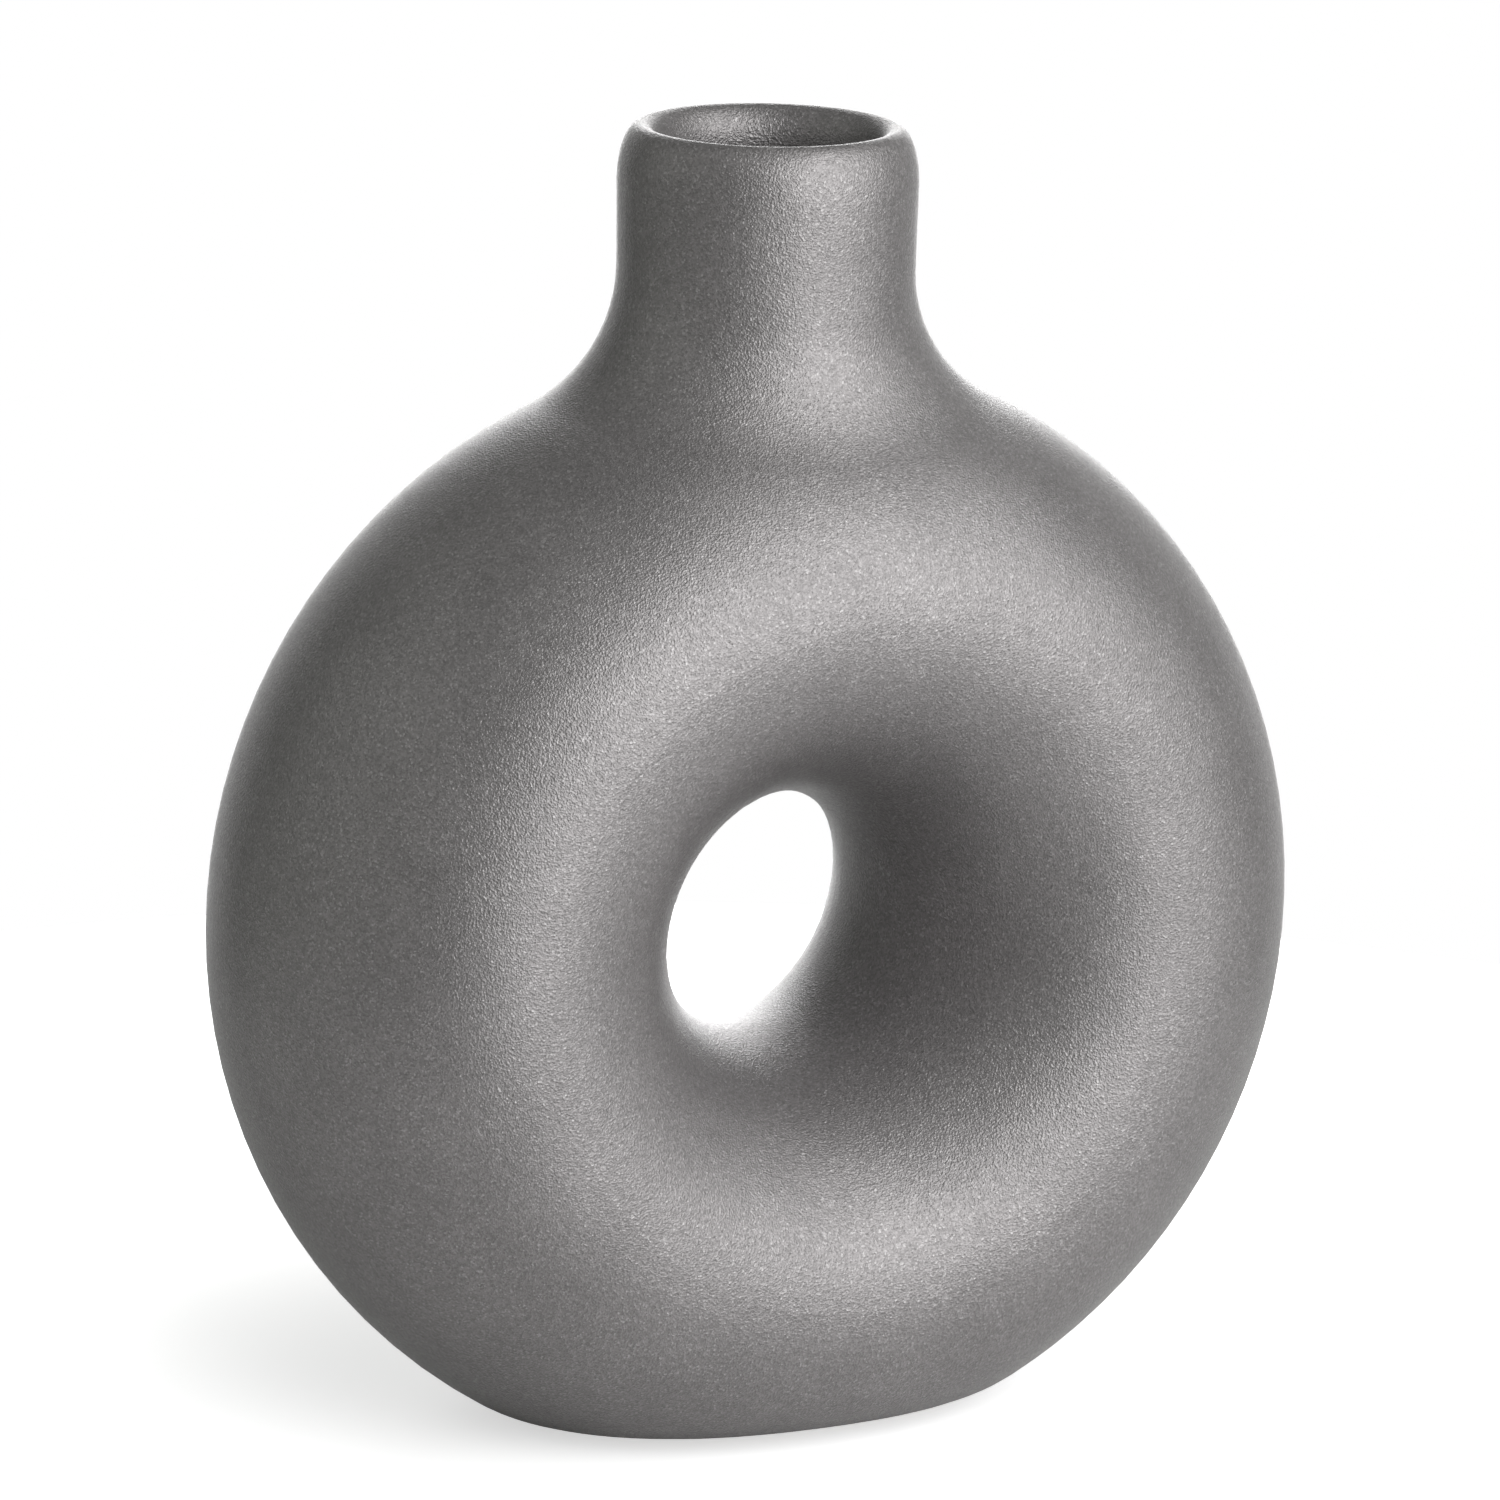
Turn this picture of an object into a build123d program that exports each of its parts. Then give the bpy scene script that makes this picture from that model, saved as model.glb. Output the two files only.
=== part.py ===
from build123d import *
import os
from math import cos, radians, sin, sqrt

# A hollow stoneware vase: a fat ring standing on edge, a short round neck on its top
# and a flat foot with four felt discs. Millimetres, +Z up, the hole runs along Y,
# and the origin is on the table under the middle of the foot.

# Ring
ring_diameter = 183.0
ring_depth = 89.0
hole_diameter = 40.0
wall_thickness = 5.0

# Where the ring is deepest: the crest's share of the way from the hole to the outer edge
crest_place_share = 0.5042

# How tightly the ring's section turns at its crest, and how square it is at its outer edge and its hole
crest_rounding = 26.1
outer_edge_share = 0.50
throat_share = 0.35

# Neck and lip
neck_rise = 36.3
neck_diameter = 47.7
neck_wall = 7.0
lip_swell = 0.2
lip_swell_height = 11.0
lip_outer_height = 9.0
lip_inner_height = 6.0
lip_inner_width = 3.65
shoulder_share = 0.9106

# Foot
foot_cut = 10.3
foot_edge_share = 0.863
floor_thickness = 6.0
foot_recess_depth = 1.5
foot_recess_radius = 0.7

# The foot's rim takes its share of half the foot's depth, and each felt disc its share of the rim's width
foot_rim_share = 0.58
pad_share = 0.72

# Felt discs under the foot
pad_thickness = 1.0
pad_angle = 45.0

# How far the cut for the mouth runs past the lip
overrun = 5.0

# Places worked out from the sizes above
ring_radius = ring_diameter / 2
hole_radius = hole_diameter / 2
crest_radius = hole_radius + crest_place_share * (ring_radius - hole_radius)
foot_level = pad_thickness
floor_level = foot_level + floor_thickness
ring_centre = foot_level + ring_radius - foot_cut
lip_level = ring_centre + ring_radius + neck_rise
lip_edge_level = lip_level - lip_outer_height
swell_level = lip_edge_level - lip_swell_height
neck_base_level = ring_centre + crest_radius
neck_radius = neck_diameter / 2
lip_radius = neck_radius + lip_swell
mouth_radius = neck_radius - neck_wall
lip_crest_radius = mouth_radius + lip_inner_width

# The shoulder's blend takes its share of the largest one that still ends under the swell of the lip
swell_rise = swell_level - ring_centre
shoulder_room = (swell_rise**2 - ring_radius**2 + neck_radius**2) / (2 * (ring_radius - neck_radius))
shoulder_blend = shoulder_share * shoulder_room

# The foot's rounded edge takes its share of the height from the foot up to the crest
foot_edge_radius = foot_edge_share * (ring_radius - foot_cut - crest_radius)

hole_axis = Axis((0, 0, ring_centre), (0, 1, 0))
section_plane = Plane.XY.offset(ring_centre)


def ring_shape(inset):
    """The ring alone, drawn in by inset all round: an outer and an inner crescent turned about the hole."""
    half_depth = ring_depth / 2 - inset
    outer_crescent = (ring_radius - inset, 1, outer_edge_share)
    inner_crescent = (hole_radius + inset, -1, throat_share)
    with BuildPart() as ring:
        for edge_radius, way, edge_share in (outer_crescent, inner_crescent):
            drop = (1 - edge_share) * half_depth
            flat_reach = way * sqrt(2 / 3 * drop * (crest_rounding - inset))
            with BuildSketch(section_plane):
                with BuildLine():
                    for side in (half_depth, -half_depth):
                        Bezier(
                            (crest_radius, side),
                            (crest_radius + flat_reach, side),
                            (edge_radius, edge_share * side),
                            (edge_radius, 0),
                        )
                    Line((crest_radius, half_depth), (crest_radius, -half_depth))
                make_face()
            revolve(axis=hole_axis)
    return ring.part


# The space inside: a smaller ring with a flat floor, opening into the bore of the neck
with BuildPart() as inside:
    add(ring_shape(wall_thickness))
    with BuildSketch(Plane.XZ):
        with BuildLine():
            Polyline(
                (0, neck_base_level),
                (mouth_radius, neck_base_level),
                (mouth_radius, lip_level - lip_inner_height),
            )
            EllipticalCenterArc(
                (lip_crest_radius, lip_level - lip_inner_height),
                lip_inner_width,
                lip_inner_height,
                start_angle=90,
                arc_size=90,
            )
            Polyline(
                (lip_crest_radius, lip_level),
                (lip_crest_radius, lip_level + overrun),
                (0, lip_level + overrun),
                (0, neck_base_level),
            )
        make_face()
    revolve(axis=Axis.Z)
    fillet(inside.edges(Select.NEW), shoulder_blend + wall_thickness)
    split(bisect_by=Plane.XY.offset(floor_level), keep=Keep.TOP)
    fillet(inside.faces().sort_by(Axis.Z)[0].edges(), foot_edge_radius - wall_thickness)

# The fired body: ring and neck blended at the shoulder, cut flat for the foot and hollowed
with BuildPart() as vase_body:
    add(ring_shape(0))
    with BuildSketch(Plane.XZ):
        with BuildLine():
            Polyline((0, neck_base_level), (neck_radius, neck_base_level), (neck_radius, swell_level))
            Spline((neck_radius, swell_level), (lip_radius, lip_edge_level), tangents=((0, 1), (0, 1)))
            EllipticalCenterArc(
                (lip_crest_radius, lip_edge_level),
                lip_radius - lip_crest_radius,
                lip_outer_height,
                start_angle=0,
                arc_size=90,
            )
            Polyline((lip_crest_radius, lip_level), (0, lip_level), (0, neck_base_level))
        make_face()
    revolve(axis=Axis.Z)
    fillet(vase_body.edges(Select.NEW), shoulder_blend)
    split(bisect_by=Plane.XY.offset(foot_level), keep=Keep.TOP)
    fillet(vase_body.faces().sort_by(Axis.Z)[0].edges(), foot_edge_radius)
    add(inside.part, mode=Mode.SUBTRACT)

    # The underside is let in a little, so that the vase stands on a rim
    foot_size = vase_body.faces().sort_by(Axis.Z)[0].bounding_box().size
    foot_rim_width = foot_rim_share * foot_size.Y / 2
    with BuildSketch(Plane.XY.offset(foot_level)):
        Ellipse(foot_size.X / 2 - foot_rim_width, foot_size.Y / 2 - foot_rim_width)
    extrude(amount=foot_recess_depth, mode=Mode.SUBTRACT)
    recess_top = vase_body.faces().filter_by(Plane.XY).sort_by(Axis.Z)[1]
    fillet(recess_top.edges(), foot_recess_radius)

os.makedirs("parts", exist_ok=True)
vase_body.part.label = "vase_body"
export_step(vase_body.part, "parts/vase_body.step")

# Four felt discs stuck to the foot's rim
pad_reach_x = (foot_size.X - foot_rim_width) / 2 * cos(radians(pad_angle))
pad_reach_y = (foot_size.Y - foot_rim_width) / 2 * sin(radians(pad_angle))
pad_places = {
    "foot_pad_front_left": (-pad_reach_x, -pad_reach_y),
    "foot_pad_front_right": (pad_reach_x, -pad_reach_y),
    "foot_pad_back_left": (-pad_reach_x, pad_reach_y),
    "foot_pad_back_right": (pad_reach_x, pad_reach_y),
}

for pad_name, pad_place in pad_places.items():
    with BuildPart() as foot_pad:
        with BuildSketch():
            with Locations(pad_place):
                Circle(pad_share * foot_rim_width / 2)
        extrude(amount=pad_thickness)
    foot_pad.part.label = pad_name
    export_step(foot_pad.part, f"parts/{pad_name}.step")
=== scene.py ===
from math import cos, pi, radians, sin

import bmesh
import bpy
from mathutils import Matrix, Vector

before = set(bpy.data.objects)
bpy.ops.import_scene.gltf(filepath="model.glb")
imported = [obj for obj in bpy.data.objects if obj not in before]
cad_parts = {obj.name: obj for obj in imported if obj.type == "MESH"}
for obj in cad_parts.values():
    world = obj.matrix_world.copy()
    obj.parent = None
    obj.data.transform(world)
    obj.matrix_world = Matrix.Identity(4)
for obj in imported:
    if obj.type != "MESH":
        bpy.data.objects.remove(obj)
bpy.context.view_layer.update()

scene = bpy.context.scene
scene.view_settings.view_transform = "Standard"

# Lengths are metres. The vase stands on z = 0, +Z is up and the ring's hole runs along Y.
MM = 0.001
RING_CENTRE = Vector((0, 0, 82.2 * MM))

# Camera: where the photograph was taken from, round the middle of the ring
CAMERA_AZIMUTH = radians(-26.885)
CAMERA_ELEVATION = radians(13.502)
CAMERA_ROLL = radians(1.288)
CAMERA_DISTANCE = 1499.38 * MM
VIEW_SHIFT_RIGHT = 0.242 * MM
VIEW_SHIFT_UP = -25.169 * MM
SENSOR_WIDTH = 36.0
LENS = 222.62
CLIP_START = 0.05
CLIP_END = 20.0

# Glaze: its colours, its sheen, and its grains, clouds and hand-worked waves
GLAZE_DARK = (0.160, 0.153, 0.153)
GLAZE_PALE = (0.252, 0.241, 0.242)
GLAZE_FLECK = (0.32, 0.31, 0.31)
GLAZE_METALLIC = 0.5
GLAZE_ROUGH_LOW = 0.30
GLAZE_ROUGH_HIGH = 0.40
SAND_GRAIN = 0.42 * MM
SAND_DEPTH = 0.12 * MM
FINE_GRAIN = 0.32 * MM
FINE_DEPTH = 0.07 * MM
CLOUD_SIZE = 14 * MM
CLOUD_THICK = 0.94
CLOUD_THIN = 1.06
HAND_WAVE = 22.0 * MM
HAND_WAVE_DEPTH = 0.10 * MM

# Each grain has a tone from 0 to 1: where the glaze is darkest and palest, and where the pale flecks begin
TONE_DARK = 0.15
TONE_PALE = 0.85
TONE_FLECK_STARTS = 0.80
TONE_FLECK_FULL = 0.90

# Bare clay on the flat of the foot, up to a ragged edge
CLAY_DARK = (0.20, 0.165, 0.135)
CLAY_PALE = (0.34, 0.285, 0.235)
CLAY_ROUGHNESS = 0.85
CLAY_ENDS = 1.75 * MM
GLAZE_STARTS = 2.05 * MM
CLAY_EDGE_WANDER = 1.0 * MM

# Felt discs: matted fibres that lie mostly one way
FELT_DARK = (0.006, 0.0055, 0.005)
FELT_PALE = (0.026, 0.024, 0.022)
FELT_FIBRE = 0.5 * MM
FELT_FIBRE_DEPTH = 0.12 * MM
FELT_FIBRE_STRETCH = (1.0, 3.0, 1.0)
FELT_FIBRE_TURN = (0.0, 0.0, radians(35))
FELT_MAT = 1.6 * MM
FELT_MAT_DEPTH = 0.10 * MM
FELT_ROUGH_LOW = 0.86
FELT_ROUGH_HIGH = 1.0
FELT_SHEEN = 0.4
FELT_SHEEN_ROUGHNESS = 0.5

# Nearly all values of a noise lie between these two, and its middle half between the other two
NOISE_LOW = 0.3
NOISE_HIGH = 0.7
NOISE_MIDDLE_LOW = 0.35
NOISE_MIDDLE_HIGH = 0.65

# Table top: its paint, its sheen, and how its white glow for the camera rises away from the vase
FLOOR_RADIUS = 0.32
FLOOR_CORNERS = 128
FLOOR_LIT_SHARE = 0.80
FLOOR_SATIN = 0.28
GLOW_NEAR = 0.58
GLOW_FAR = 1.0
GLOW_STARTS = 0.06
GLOW_ENDS = 0.17

# Room and the white backdrop that gloss shows behind the vase
ROOM_LEVEL = 0.14
ROOM_TINT = (0.97, 1.0, 0.95)
BACKDROP_AZIMUTH = radians(153)
BACKDROP_ELEVATION = radians(-8)
BACKDROP_INNER = cos(radians(24))
BACKDROP_OUTER = cos(radians(42))
LAMP_DISTANCE = 1.6
WHITE = (1.0, 1.0, 1.0)

# A Mix node's sockets go by number, because several of them share a name
MIX_SHARE = 0
MIX_NUMBERS = (2, 3)
MIX_NUMBER_OUT = 0
MIX_COLOURS = (6, 7)
MIX_COLOUR_OUT = 2


def towards(azimuth, elevation):
    """The unit vector from the vase to a place at that azimuth (0 in front, + to the right) and elevation."""
    return Vector((sin(azimuth) * cos(elevation), -cos(azimuth) * cos(elevation), sin(elevation)))


def make_camera():
    back = towards(CAMERA_AZIMUTH, CAMERA_ELEVATION)
    level_right = Vector((cos(CAMERA_AZIMUTH), sin(CAMERA_AZIMUTH), 0))
    level_up = back.cross(level_right)
    right = level_right * cos(CAMERA_ROLL) + level_up * sin(CAMERA_ROLL)
    up = level_up * cos(CAMERA_ROLL) - level_right * sin(CAMERA_ROLL)
    place = RING_CENTRE + back * CAMERA_DISTANCE - right * VIEW_SHIFT_RIGHT - up * VIEW_SHIFT_UP
    data = bpy.data.cameras.new("camera")
    data.sensor_fit = "HORIZONTAL"
    data.sensor_width = SENSOR_WIDTH
    data.lens = LENS
    data.clip_start = CLIP_START
    data.clip_end = CLIP_END
    camera = bpy.data.objects.new("camera", data)
    turn = Matrix((right, up, back)).transposed().to_4x4()
    camera.matrix_world = Matrix.Translation(place) @ turn
    scene.collection.objects.link(camera)
    scene.camera = camera


# Small helpers for the materials
def new_material(name):
    material = bpy.data.materials.new(name)
    material.use_nodes = True
    material.node_tree.nodes.clear()
    return material, material.node_tree.nodes, material.node_tree.links


def noise(nodes, links, where, size, detail, roughness=0.5):
    """Even noise whose grains are about that size."""
    node = nodes.new("ShaderNodeTexNoise")
    node.inputs["Scale"].default_value = 1.0 / size
    node.inputs["Detail"].default_value = detail
    node.inputs["Roughness"].default_value = roughness
    links.new(where, node.inputs["Vector"])
    return node.outputs["Fac"]


def grains(nodes, links, where, size):
    """Packed grains about that size: how far each point is from its grain's middle, and the grain's tone."""
    node = nodes.new("ShaderNodeTexVoronoi")
    node.feature = "F1"
    node.inputs["Scale"].default_value = 1.0 / size
    links.new(where, node.inputs["Vector"])
    return node.outputs["Distance"], node.outputs["Color"]


def spread(nodes, links, value, low, high, to_low=0.0, to_high=1.0, smooth=False):
    """Maps low..high onto to_low..to_high."""
    node = nodes.new("ShaderNodeMapRange")
    node.interpolation_type = "SMOOTHSTEP" if smooth else "LINEAR"
    node.inputs["From Min"].default_value = low
    node.inputs["From Max"].default_value = high
    node.inputs["To Min"].default_value = to_low
    node.inputs["To Max"].default_value = to_high
    links.new(value, node.inputs["Value"])
    return node.outputs["Result"]


def blend_colours(nodes, links, share, first, second):
    """Mixes two colours by the share of the second; each is a socket or three numbers."""
    node = nodes.new("ShaderNodeMix")
    node.data_type = "RGBA"
    for number, colour in zip(MIX_COLOURS, (first, second)):
        if isinstance(colour, tuple):
            node.inputs[number].default_value = (*colour, 1.0)
        else:
            links.new(colour, node.inputs[number])
    links.new(share, node.inputs[MIX_SHARE])
    return node.outputs[MIX_COLOUR_OUT]


def add_bump(nodes, links, height, depth, under=None):
    node = nodes.new("ShaderNodeBump")
    node.inputs["Strength"].default_value = 1.0
    node.inputs["Distance"].default_value = depth
    links.new(height, node.inputs["Height"])
    if under is not None:
        links.new(under, node.inputs["Normal"])
    return node.outputs["Normal"]


# Finishes
def make_glaze():
    """Matt dark glaze with a satin metallic sheen over a fine sandy grain, and bare clay under the foot."""
    material, nodes, links = new_material("sandy_glaze")
    shader = nodes.new("ShaderNodeBsdfPrincipled")
    output = nodes.new("ShaderNodeOutputMaterial")
    links.new(shader.outputs["BSDF"], output.inputs["Surface"])
    where = nodes.new("ShaderNodeTexCoord").outputs["Object"]

    sand = noise(nodes, links, where, SAND_GRAIN, detail=1.5)
    fine, tone = grains(nodes, links, where, FINE_GRAIN)
    cloud = noise(nodes, links, where, CLOUD_SIZE, detail=3.0)
    wave = noise(nodes, links, where, HAND_WAVE, detail=1.0)

    # Every grain takes the glaze in its own tone, a few are pale flecks, and the coat thickens in soft clouds
    speckle = spread(nodes, links, tone, TONE_DARK, TONE_PALE)
    glaze = blend_colours(nodes, links, speckle, GLAZE_DARK, GLAZE_PALE)
    fleck = spread(nodes, links, tone, TONE_FLECK_STARTS, TONE_FLECK_FULL)
    glaze = blend_colours(nodes, links, fleck, glaze, GLAZE_FLECK)
    clouds = spread(nodes, links, cloud, NOISE_LOW, NOISE_HIGH, CLOUD_THICK, CLOUD_THIN)
    tinted = nodes.new("ShaderNodeVectorMath")
    tinted.operation = "SCALE"
    links.new(glaze, tinted.inputs[0])
    links.new(clouds, tinted.inputs["Scale"])
    glaze = tinted.outputs["Vector"]

    # The flat of the foot is wiped bare
    height = nodes.new("ShaderNodeSeparateXYZ")
    links.new(where, height.inputs[0])
    ragged = nodes.new("ShaderNodeMath")
    ragged.operation = "MULTIPLY_ADD"
    links.new(wave, ragged.inputs[0])
    ragged.inputs[1].default_value = CLAY_EDGE_WANDER
    links.new(height.outputs["Z"], ragged.inputs[2])
    bare = spread(nodes, links, ragged.outputs["Value"], CLAY_ENDS, GLAZE_STARTS, 1.0, 0.0, smooth=True)
    clay = blend_colours(nodes, links, speckle, CLAY_DARK, CLAY_PALE)
    links.new(blend_colours(nodes, links, bare, glaze, clay), shader.inputs["Base Color"])
    links.new(spread(nodes, links, bare, 0.0, 1.0, GLAZE_METALLIC, 0.0), shader.inputs["Metallic"])

    satin = spread(nodes, links, sand, NOISE_LOW, NOISE_HIGH, GLAZE_ROUGH_LOW, GLAZE_ROUGH_HIGH)
    rough = nodes.new("ShaderNodeMix")
    glaze_number, clay_number = MIX_NUMBERS
    links.new(bare, rough.inputs[MIX_SHARE])
    links.new(satin, rough.inputs[glaze_number])
    rough.inputs[clay_number].default_value = CLAY_ROUGHNESS
    links.new(rough.outputs[MIX_NUMBER_OUT], shader.inputs["Roughness"])

    normal = add_bump(nodes, links, wave, HAND_WAVE_DEPTH)
    normal = add_bump(nodes, links, sand, SAND_DEPTH, under=normal)
    normal = add_bump(nodes, links, fine, FINE_DEPTH, under=normal)
    links.new(normal, shader.inputs["Normal"])
    return material


def make_felt():
    """Pressed dark felt: short matted fibres, no gloss."""
    material, nodes, links = new_material("pressed_felt")
    shader = nodes.new("ShaderNodeBsdfPrincipled")
    output = nodes.new("ShaderNodeOutputMaterial")
    links.new(shader.outputs["BSDF"], output.inputs["Surface"])
    where = nodes.new("ShaderNodeTexCoord").outputs["Object"]
    stretch = nodes.new("ShaderNodeMapping")
    stretch.inputs["Scale"].default_value = FELT_FIBRE_STRETCH
    stretch.inputs["Rotation"].default_value = FELT_FIBRE_TURN
    links.new(where, stretch.inputs["Vector"])
    fibres = noise(nodes, links, stretch.outputs["Vector"], FELT_FIBRE, detail=4.0, roughness=0.65)
    mat = noise(nodes, links, where, FELT_MAT, detail=2.0)
    share = spread(nodes, links, fibres, NOISE_MIDDLE_LOW, NOISE_MIDDLE_HIGH)
    links.new(blend_colours(nodes, links, share, FELT_DARK, FELT_PALE), shader.inputs["Base Color"])
    rough = spread(nodes, links, mat, NOISE_LOW, NOISE_HIGH, FELT_ROUGH_LOW, FELT_ROUGH_HIGH)
    links.new(rough, shader.inputs["Roughness"])
    shader.inputs["Sheen Weight"].default_value = FELT_SHEEN
    shader.inputs["Sheen Roughness"].default_value = FELT_SHEEN_ROUGHNESS
    normal = add_bump(nodes, links, fibres, FELT_FIBRE_DEPTH)
    normal = add_bump(nodes, links, mat, FELT_MAT_DEPTH, under=normal)
    links.new(normal, shader.inputs["Normal"])
    return material


def dress(node_name, material):
    """Gives a CAD node its finish."""
    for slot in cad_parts[node_name].material_slots:
        slot.material = material


# Surroundings
def seen_by_eye(nodes, links):
    """1 for what the camera sees directly or through glass; 0 for light on its way to a surface."""
    path = nodes.new("ShaderNodeLightPath")
    node = nodes.new("ShaderNodeMath")
    node.operation = "MAXIMUM"
    links.new(path.outputs["Is Camera Ray"], node.inputs[0])
    links.new(path.outputs["Is Transmission Ray"], node.inputs[1])
    return node.outputs[0]


def in_the_gloss(nodes, links):
    """1 where a glossy surface shows the white backdrop that stands behind the vase, fading at its edges."""
    path = nodes.new("ShaderNodeLightPath")
    facing = nodes.new("ShaderNodeVectorMath")
    facing.operation = "DOT_PRODUCT"
    links.new(nodes.new("ShaderNodeTexCoord").outputs["Generated"], facing.inputs[0])
    facing.inputs[1].default_value = towards(BACKDROP_AZIMUTH, BACKDROP_ELEVATION)
    panel = spread(nodes, links, facing.outputs["Value"], BACKDROP_OUTER, BACKDROP_INNER, smooth=True)
    node = nodes.new("ShaderNodeMath")
    node.operation = "MULTIPLY"
    links.new(path.outputs["Is Glossy Ray"], node.inputs[0])
    links.new(panel, node.inputs[1])
    return node.outputs[0]


def make_floor():
    """A round pale table top. Its own pale glow for the camera keeps it white away from the vase's shadow."""
    mesh = bpy.data.meshes.new("floor")
    shape = bmesh.new()
    bmesh.ops.create_circle(shape, cap_ends=True, segments=FLOOR_CORNERS, radius=FLOOR_RADIUS)
    shape.to_mesh(mesh)
    shape.free()
    floor = bpy.data.objects.new("floor", mesh)
    scene.collection.objects.link(floor)
    material, nodes, links = new_material("pale_floor")
    colour = (FLOOR_LIT_SHARE, FLOOR_LIT_SHARE, FLOOR_LIT_SHARE, 1.0)
    satin = nodes.new("ShaderNodeBsdfPrincipled")
    satin.inputs["Base Color"].default_value = colour
    satin.inputs["Roughness"].default_value = FLOOR_SATIN
    matt = nodes.new("ShaderNodeBsdfDiffuse")
    matt.inputs["Color"].default_value = colour
    reach = nodes.new("ShaderNodeVectorMath")
    reach.operation = "LENGTH"
    links.new(nodes.new("ShaderNodeTexCoord").outputs["Object"], reach.inputs[0])
    away = reach.outputs["Value"]
    rise = spread(nodes, links, away, GLOW_STARTS, GLOW_ENDS, GLOW_NEAR, GLOW_FAR, smooth=True)
    glow = nodes.new("ShaderNodeEmission")
    links.new(rise, glow.inputs["Strength"])
    seen = nodes.new("ShaderNodeAddShader")
    links.new(matt.outputs[0], seen.inputs[0])
    links.new(glow.outputs[0], seen.inputs[1])
    choice = nodes.new("ShaderNodeMixShader")
    links.new(seen_by_eye(nodes, links), choice.inputs[0])
    links.new(satin.outputs[0], choice.inputs[1])
    links.new(seen.outputs[0], choice.inputs[2])
    output = nodes.new("ShaderNodeOutputMaterial")
    links.new(choice.outputs[0], output.inputs["Surface"])
    mesh.materials.append(material)


def make_world():
    """White for the camera all round; for gloss the white backdrop in a dim room; dim for everything else."""
    world = bpy.data.worlds.new("studio")
    world.use_nodes = True
    nodes, links = world.node_tree.nodes, world.node_tree.links
    nodes.clear()
    room = nodes.new("ShaderNodeBackground")
    room.inputs["Color"].default_value = (*ROOM_TINT, 1.0)
    room.inputs["Strength"].default_value = ROOM_LEVEL
    white = nodes.new("ShaderNodeBackground")
    white.inputs["Color"].default_value = (*WHITE, 1.0)
    white.inputs["Strength"].default_value = 1.0
    most = nodes.new("ShaderNodeMath")
    most.operation = "MAXIMUM"
    links.new(seen_by_eye(nodes, links), most.inputs[0])
    links.new(in_the_gloss(nodes, links), most.inputs[1])
    choice = nodes.new("ShaderNodeMixShader")
    links.new(most.outputs[0], choice.inputs[0])
    links.new(room.outputs[0], choice.inputs[1])
    links.new(white.outputs[0], choice.inputs[2])
    output = nodes.new("ShaderNodeOutputWorld")
    links.new(choice.outputs[0], output.inputs["Surface"])
    scene.world = world


def softbox(name, azimuth, elevation, width, height, level, tint=WHITE):
    """A soft lamp facing the ring; level is how bright its face is, where 1 is a white card in full light."""
    data = bpy.data.lights.new(name, "AREA")
    data.shape = "RECTANGLE"
    data.size = width
    data.size_y = height
    data.energy = level * pi * width * height
    data.color = tint
    lamp = bpy.data.objects.new(name, data)
    aim = towards(radians(azimuth), radians(elevation))
    lamp.location = RING_CENTRE + aim * LAMP_DISTANCE
    lamp.rotation_euler = aim.to_track_quat("Z", "Y").to_euler()
    lamp.visible_camera = False
    scene.collection.objects.link(lamp)


make_camera()
dress("vase_body", make_glaze())
felt = make_felt()
for pad in ("foot_pad_front_left", "foot_pad_front_right", "foot_pad_back_left", "foot_pad_back_right"):
    dress(pad, felt)
make_floor()
make_world()

# Lamps: azimuth and elevation in degrees, width, height and level
softbox("key", 15, 25, 1.85, 1.60, 3.60)
softbox("key_low", 15, -14, 1.85, 0.75, 2.35)
softbox("side", 60, 25, 0.85, 1.60, 1.45)
softbox("side_high", 60, 64, 0.85, 0.75, 1.55)
softbox("left", -105, 25, 1.85, 1.60, 0.43, ROOM_TINT)
softbox("left_low", -120, -14, 0.85, 0.75, 0.42, ROOM_TINT)
softbox("back", 165, 25, 1.85, 1.60, 0.16)
softbox("rim", 153, 6, 0.80, 1.25, 3.0)
